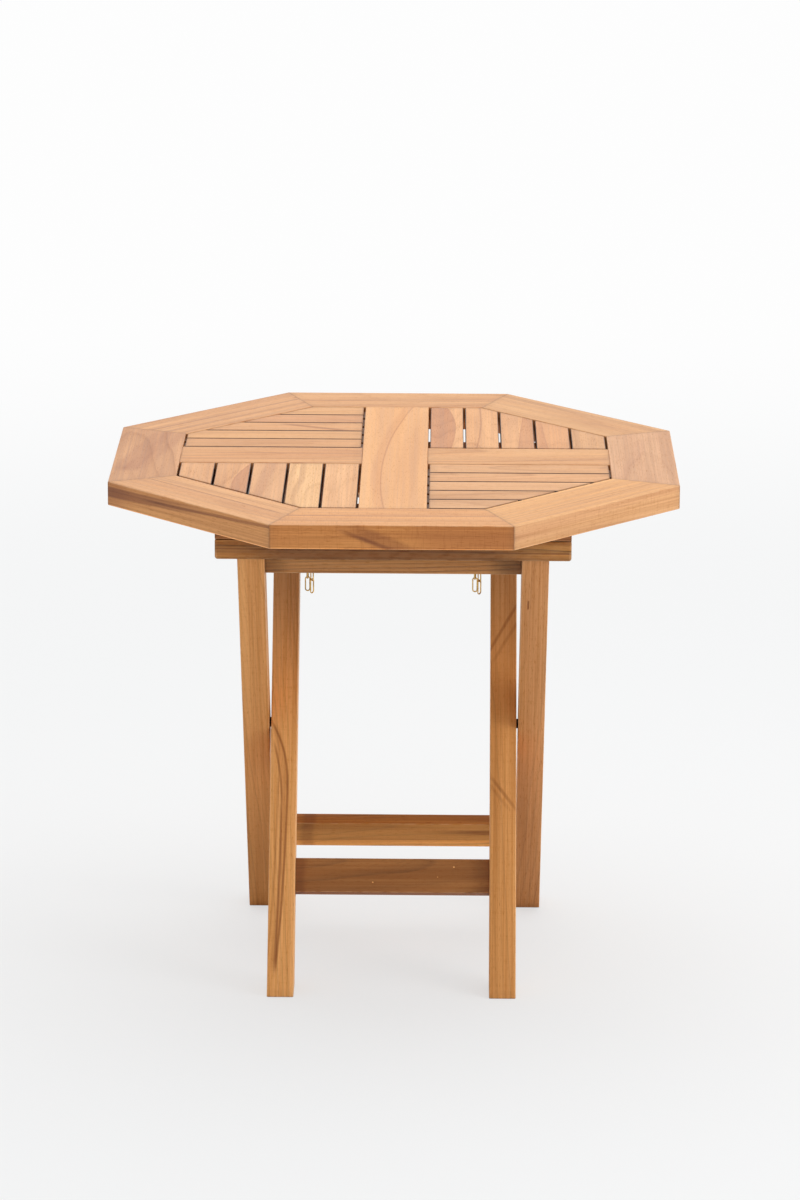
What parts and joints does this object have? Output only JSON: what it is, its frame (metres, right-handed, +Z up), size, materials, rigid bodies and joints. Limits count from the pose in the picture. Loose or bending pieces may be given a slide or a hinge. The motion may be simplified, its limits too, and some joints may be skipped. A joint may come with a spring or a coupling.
{
  "type": "folding octagonal garden table",
  "caption": "Folding teak garden table with an octagonal slatted top on crossed leg frames, hinged at one side, with short brass stay chains.",
  "frame": {"origin": "on the floor under the centre of the top", "axes": "+Z up; -Y towards the front, where the outer legs have their tops; +X to the right"},
  "size_m": [0.8, 0.8, 0.74],
  "materials": {
    "teak_frame": "oiled satin",
    "teak_slat": "oiled satin",
    "teak_rail": "oiled satin",
    "teak_leg": "oiled satin",
    "brass": "dull",
    "zinc_steel": "zinc plated",
    "black_nylon": "matte"
  },
  "bodies": {
    "outer_frame": {"cap_rail": "teak_rail", "outer_leg_left": "teak_leg", "outer_leg_right": "teak_leg", "outer_top_rail": "teak_rail", "outer_lower_rail": "teak_rail", "hinge_lower_leaves": "brass", "hinge_lower_screws": "brass", "pivot_bolts": "zinc_steel", "pivot_spacers": "black_nylon", "pivot_washers": "zinc_steel", "pivot_nuts": "zinc_steel", "chain_eyes": "brass", "hinge_pins": "brass"},
    "table_top": {"rim_front": "teak_frame", "rim_front_right": "teak_frame", "rim_right": "teak_frame", "rim_back_right": "teak_frame", "rim_back": "teak_frame", "rim_back_left": "teak_frame", "rim_left": "teak_frame", "rim_front_left": "teak_frame", "centre_board": "teak_frame", "cross_rail_left": "teak_frame", "cross_rail_right": "teak_frame", "slat_right_back_1": "teak_slat", "slat_right_back_2": "teak_slat", "slat_right_back_3": "teak_slat", "slat_right_back_4": "teak_slat", "slat_right_back_5": "teak_slat", "slat_left_back_1": "teak_slat", "slat_left_back_2": "teak_slat", "slat_left_back_3": "teak_slat", "slat_left_back_4": "teak_slat", "slat_left_back_5": "teak_slat", "slat_left_front_1": "teak_slat", "slat_left_front_2": "teak_slat", "slat_left_front_3": "teak_slat", "slat_left_front_4": "teak_slat", "slat_left_front_5": "teak_slat", "slat_right_front_1": "teak_slat", "slat_right_front_2": "teak_slat", "slat_right_front_3": "teak_slat", "slat_right_front_4": "teak_slat", "slat_right_front_5": "teak_slat", "mitre_dowels": "teak_rail", "front_batten": "teak_rail", "rear_batten": "teak_rail", "runner_left": "teak_rail", "runner_right": "teak_rail", "top_screws": "brass", "hinge_upper_leaves": "brass", "hinge_upper_screws": "brass"},
    "inner_frame": {"inner_leg_left": "teak_leg", "inner_leg_right": "teak_leg", "inner_top_rail": "teak_rail", "inner_lower_rail": "teak_rail"},
    "chain_left": {"chain_left": "brass"},
    "chain_right": {"chain_right": "brass"}
  },
  "joints": [
    {"name": "top_tip", "type": "hinge", "parent": "outer_frame", "child": "table_top", "pos_m": [0, -0.21802, 0.67], "axis": [1, 0, 0], "range_deg": [0, 117]},
    {"name": "leg_fold", "type": "hinge", "parent": "outer_frame", "child": "inner_frame", "pos_m": [0, 0, 0.341], "axis": [1, 0, 0], "range_deg": [0, 48]},
    {"name": "chain_swing_left", "type": "hinge", "parent": "outer_frame", "child": "chain_left", "pos_m": [0, -0.14029, 0.6305], "axis": [1, 0, 0], "range_deg": [-8, 20]},
    {"name": "chain_swing_right", "type": "hinge", "parent": "outer_frame", "child": "chain_right", "pos_m": [0, -0.14029, 0.6305], "axis": [1, 0, 0], "range_deg": [-8, 20]}
  ],
  "couplings": [
    {"joint": "leg_fold", "follows": "top_tip", "ratio": 0.41}
  ]
}
